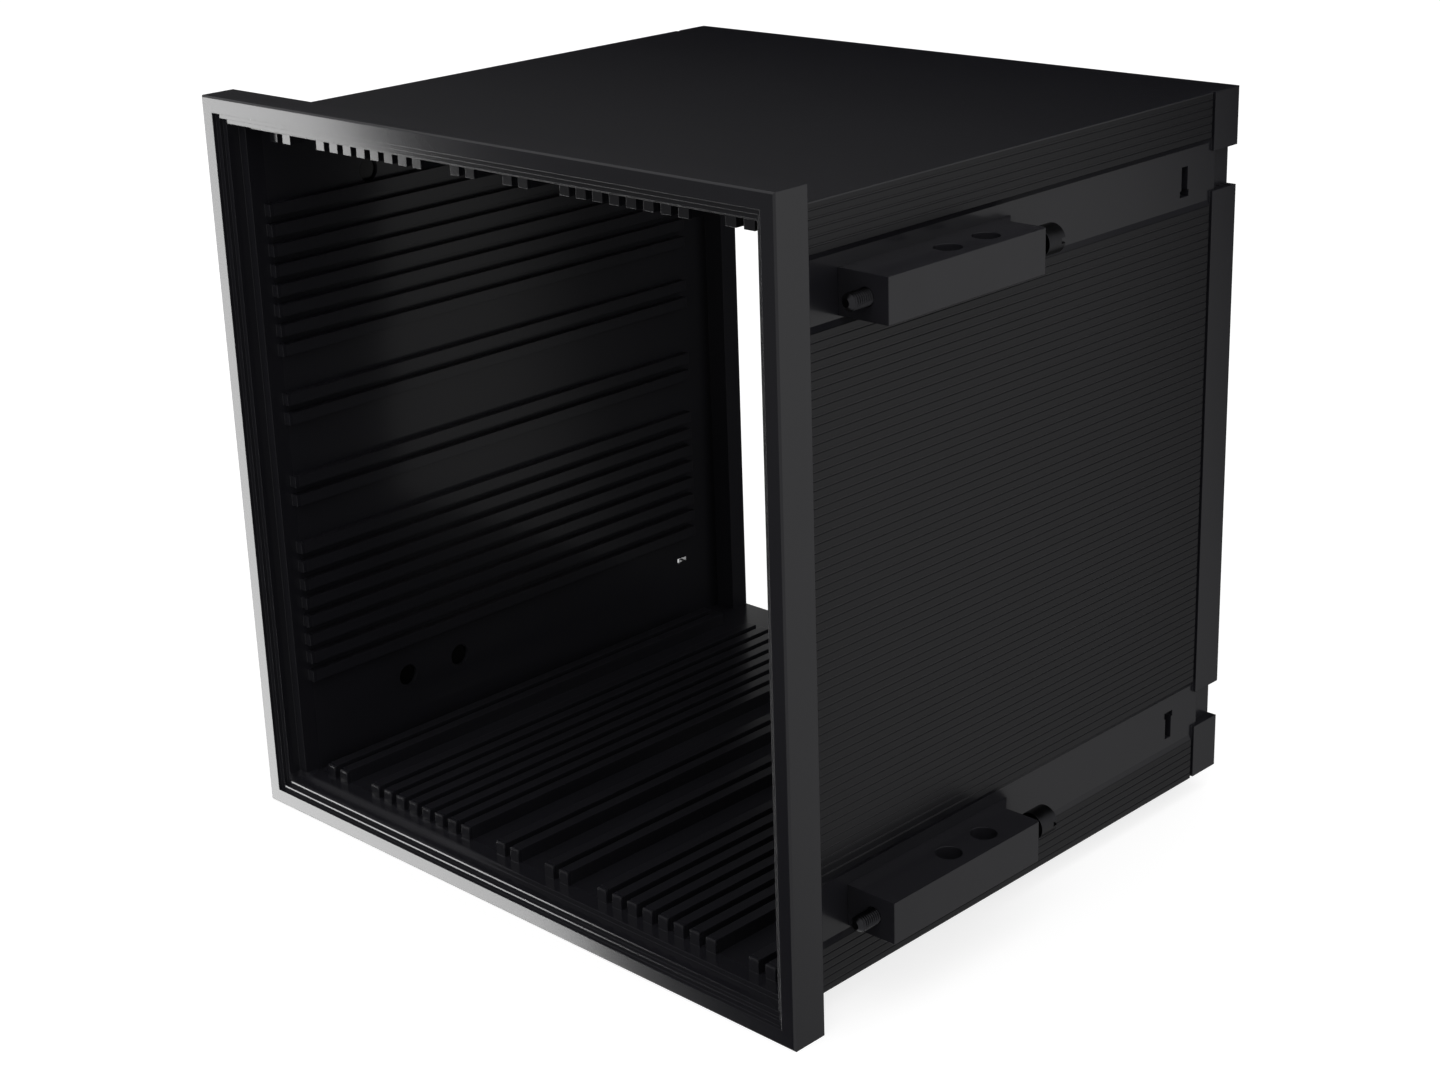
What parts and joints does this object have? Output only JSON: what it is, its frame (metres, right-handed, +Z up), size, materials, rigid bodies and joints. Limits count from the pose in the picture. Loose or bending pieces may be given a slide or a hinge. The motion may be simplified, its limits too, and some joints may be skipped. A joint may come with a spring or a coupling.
{
  "type": "panel mount enclosure",
  "caption": "Deep square enclosure, open front and back, with a stepped bezel, card guides inside and screw clamps on its ribbed sides to hold it in a panel cut-out.",
  "frame": {"origin": "middle of the panel cut-out, in the plane where the bezel's rear face meets the panel", "axes": "+X right as seen from the front, +Y through the panel towards the rear, +Z up"},
  "size_m": [0.1548, 0.1287, 0.144],
  "materials": {
    "housing_plastic": "black, satin",
    "clamp_plastic": "black, satin",
    "screw_steel": "blackened"
  },
  "bodies": {
    "enclosure": {"housing": "housing_plastic", "clamp_right_upper": "clamp_plastic", "clamp_right_lower": "clamp_plastic", "clamp_left_upper": "clamp_plastic", "clamp_left_lower": "clamp_plastic"},
    "screw_right_upper": {"screw_right_upper": "screw_steel"},
    "screw_right_lower": {"screw_right_lower": "screw_steel"},
    "screw_left_upper": {"screw_left_upper": "screw_steel"},
    "screw_left_lower": {"screw_left_lower": "screw_steel"}
  },
  "joints": [
    {"name": "advance_right_upper", "type": "slide", "parent": "enclosure", "child": "screw_right_upper", "axis": [0, -1, 0], "range_m": [-0.0044, 0.003]},
    {"name": "advance_right_lower", "type": "slide", "parent": "enclosure", "child": "screw_right_lower", "axis": [0, -1, 0], "range_m": [-0.0044, 0.003]},
    {"name": "advance_left_upper", "type": "slide", "parent": "enclosure", "child": "screw_left_upper", "axis": [0, -1, 0], "range_m": [-0.0044, 0.003]},
    {"name": "advance_left_lower", "type": "slide", "parent": "enclosure", "child": "screw_left_lower", "axis": [0, -1, 0], "range_m": [-0.0044, 0.003]}
  ]
}
